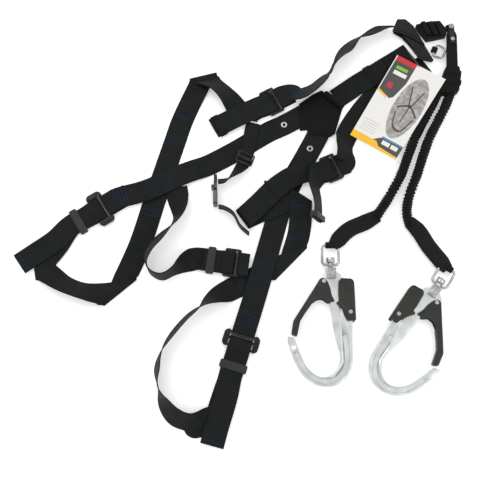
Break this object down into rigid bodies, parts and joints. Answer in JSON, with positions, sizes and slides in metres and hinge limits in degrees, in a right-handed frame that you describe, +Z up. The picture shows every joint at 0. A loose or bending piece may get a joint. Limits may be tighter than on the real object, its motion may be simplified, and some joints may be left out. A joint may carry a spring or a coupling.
{
  "type": "safety harness",
  "caption": "Full-body fall-arrest harness laid flat, with back plate, leg buckles, chest and hip straps, an elastic twin lanyard and two large snap hooks.",
  "frame": {"origin": "on the floor below the middle of the laid-out harness, counted without the two elastic lanyard legs", "axes": "+X to the right along the harness's longest extent, towards the lanyard hooks' side; +Y towards the back plate; +Z up from the floor, the shortest extent"},
  "size_m": [0.8663, 0.8466, 0.0516],
  "materials": {
    "webbing": "fine ribbed polyester webbing, matt",
    "sleeve_webbing": "woven cover, matt",
    "pad_fabric": "quilted ballistic fabric, matt",
    "elastic_cover": "gathered elastic cover, matt",
    "elastic_band": "knitted elastic, matt",
    "tag_card": null,
    "string": "thin cord",
    "eyelet_metal": "polished",
    "hook_aluminium": "satin clear anodised",
    "bright_steel": "polished zinc plate",
    "lever_plastic": "fine texture",
    "keeper_plastic": "fine texture",
    "buckle_coated": "black powder coat",
    "chest_metal": "grey coat, worn edges"
  },
  "bodies": {
    "root": {"absorber_pack": "sleeve_webbing", "back_strap": "webbing", "chest_adjuster": "buckle_coated", "chest_buckle_body": "chest_metal", "chest_buckle_tongue": "chest_metal", "chest_strap_left": "webbing", "chest_strap_right": "webbing", "dorsal_pad": "pad_fabric", "dorsal_plate": "pad_fabric", "dorsal_ring_loop": "webbing", "elastic_keepers": "elastic_band", "front_strap_left": "webbing", "front_strap_right": "webbing", "hip_adjuster": "buckle_coated", "hip_strap_left": "webbing", "hip_strap_right": "webbing", "junction_patch_back": "pad_fabric", "junction_patch_front": "pad_fabric", "lanyard_junction": "sleeve_webbing", "lanyard_leg_left": "elastic_cover", "lanyard_leg_right": "elastic_cover", "lanyard_link": "sleeve_webbing", "lanyard_sleeve_left": "sleeve_webbing", "lanyard_sleeve_right": "sleeve_webbing", "leg_buckle_frame_left": "buckle_coated", "leg_buckle_frame_right": "buckle_coated", "leg_strap_left": "webbing", "leg_strap_right": "webbing", "patch_loop": "pad_fabric", "seat_strap_left": "webbing", "seat_strap_right": "webbing", "shackle": "buckle_coated", "shackle_pins": "bright_steel", "shoulder_adjuster_left": "buckle_coated", "shoulder_adjuster_right": "buckle_coated", "shoulder_strap_left": "webbing", "shoulder_strap_right": "webbing", "strap_eyelets": "eyelet_metal", "tag_string": "string", "tail_keeper_right": "keeper_plastic"},
    "dorsal_ring": {"dorsal_ring": "bright_steel"},
    "leg_bar_left": {"leg_buckle_bar_left": "buckle_coated"},
    "leg_bar_right": {"leg_buckle_bar_right": "buckle_coated"},
    "leg_keeper_left": {"leg_keeper_left": "keeper_plastic"},
    "leg_keeper_right": {"leg_keeper_right": "keeper_plastic"},
    "hip_keeper": {"hip_keeper": "keeper_plastic"},
    "chest_lever": {"chest_buckle_lever": "chest_metal"},
    "tag": {"tag_card": "tag_card"},
    "bail_left": {"hook_bail_left": "bright_steel"},
    "hook_left": {"hook_swivel_left": "bright_steel", "hook_body_left": "hook_aluminium", "hook_pins_left": "bright_steel"},
    "gate_left": {"hook_gate_left": "lever_plastic"},
    "lock_left": {"hook_lock_left": "lever_plastic"},
    "bail_right": {"hook_bail_right": "bright_steel"},
    "hook_right": {"hook_swivel_right": "bright_steel", "hook_body_right": "hook_aluminium", "hook_pins_right": "bright_steel"},
    "gate_right": {"hook_gate_right": "lever_plastic"},
    "lock_right": {"hook_lock_right": "lever_plastic"}
  },
  "joints": [
    {"name": "leg_bar_slide_left", "type": "slide", "parent": "root", "child": "leg_bar_left", "axis": [-0.8499, -0.5269, 0], "range_m": [0, 0.003]},
    {"name": "leg_bar_slide_right", "type": "slide", "parent": "root", "child": "leg_bar_right", "axis": [-0.294, -0.9558, 0], "range_m": [0, 0.003]},
    {"name": "leg_keeper_slide_left", "type": "slide", "parent": "root", "child": "leg_keeper_left", "axis": [-0.8499, -0.5269, 0], "range_m": [-0.006, 0.006]},
    {"name": "leg_keeper_slide_right", "type": "slide", "parent": "root", "child": "leg_keeper_right", "axis": [-0.294, -0.9558, 0], "range_m": [-0.006, 0.006]},
    {"name": "hip_keeper_slide", "type": "slide", "parent": "root", "child": "hip_keeper", "axis": [-0.9901, 0.14, 0], "range_m": [-0.004, 0.004]},
    {"name": "dorsal_ring_hinge", "type": "hinge", "parent": "root", "child": "dorsal_ring", "pos_m": [0.388, 0.356, 0.009], "axis": [-0.4149, -0.9099, 0], "range_deg": [0, 60]},
    {"name": "chest_lever_hinge", "type": "hinge", "parent": "root", "child": "chest_lever", "pos_m": [-0.0542, 0.0376, 0.0142], "axis": [0, 0, 1], "range_deg": [0, 25]},
    {"name": "tag_hinge", "type": "hinge", "parent": "root", "child": "tag", "pos_m": [0.31, 0.341, 0.017], "axis": [-0.8404, 0.5356, -0.0831], "range_deg": [0, 45]},
    {"name": "bail_hinge_left", "type": "hinge", "parent": "root", "child": "bail_left", "pos_m": [0.1642, -0.0513, 0.011], "axis": [-1, 0, 0], "range_deg": [0, 80]},
    {"name": "swivel_left", "type": "hinge", "parent": "bail_left", "child": "hook_left", "pos_m": [0.1642, -0.1053, 0.011], "axis": [0, 1, 0], "range_deg": [-120, 120]},
    {"name": "gate_hinge_left", "type": "hinge", "parent": "hook_left", "child": "gate_left", "pos_m": [0.15029, -0.12135, 0.011], "axis": [0, 0, 1], "range_deg": [0, 28], "stiffness_Nm_per_rad": 0.05},
    {"name": "lock_hinge_left", "type": "hinge", "parent": "hook_left", "child": "lock_left", "pos_m": [0.19737, -0.17913, 0.011], "axis": [0, 0, 1], "range_deg": [0, 12]},
    {"name": "bail_hinge_right", "type": "hinge", "parent": "root", "child": "bail_right", "pos_m": [0.38455, -0.09574, 0.011], "axis": [-0.8271, 0.5621, 0], "range_deg": [0, 80]},
    {"name": "swivel_right", "type": "hinge", "parent": "bail_right", "child": "hook_right", "pos_m": [0.3542, -0.1404, 0.011], "axis": [0.5621, 0.8271, 0], "range_deg": [-120, 120]},
    {"name": "gate_hinge_right", "type": "hinge", "parent": "hook_right", "child": "gate_right", "pos_m": [0.35668, -0.16149, 0.011], "axis": [0, 0, -1], "range_deg": [0, 28], "stiffness_Nm_per_rad": 0.05},
    {"name": "lock_hinge_right", "type": "hinge", "parent": "hook_right", "child": "lock_right", "pos_m": [0.28527, -0.18282, 0.011], "axis": [0, 0, -1], "range_deg": [0, 12]}
  ],
  "couplings": [
    {"joint": "lock_hinge_left", "follows": "gate_hinge_left", "ratio": 0.4286},
    {"joint": "lock_hinge_right", "follows": "gate_hinge_right", "ratio": 0.4286}
  ]
}
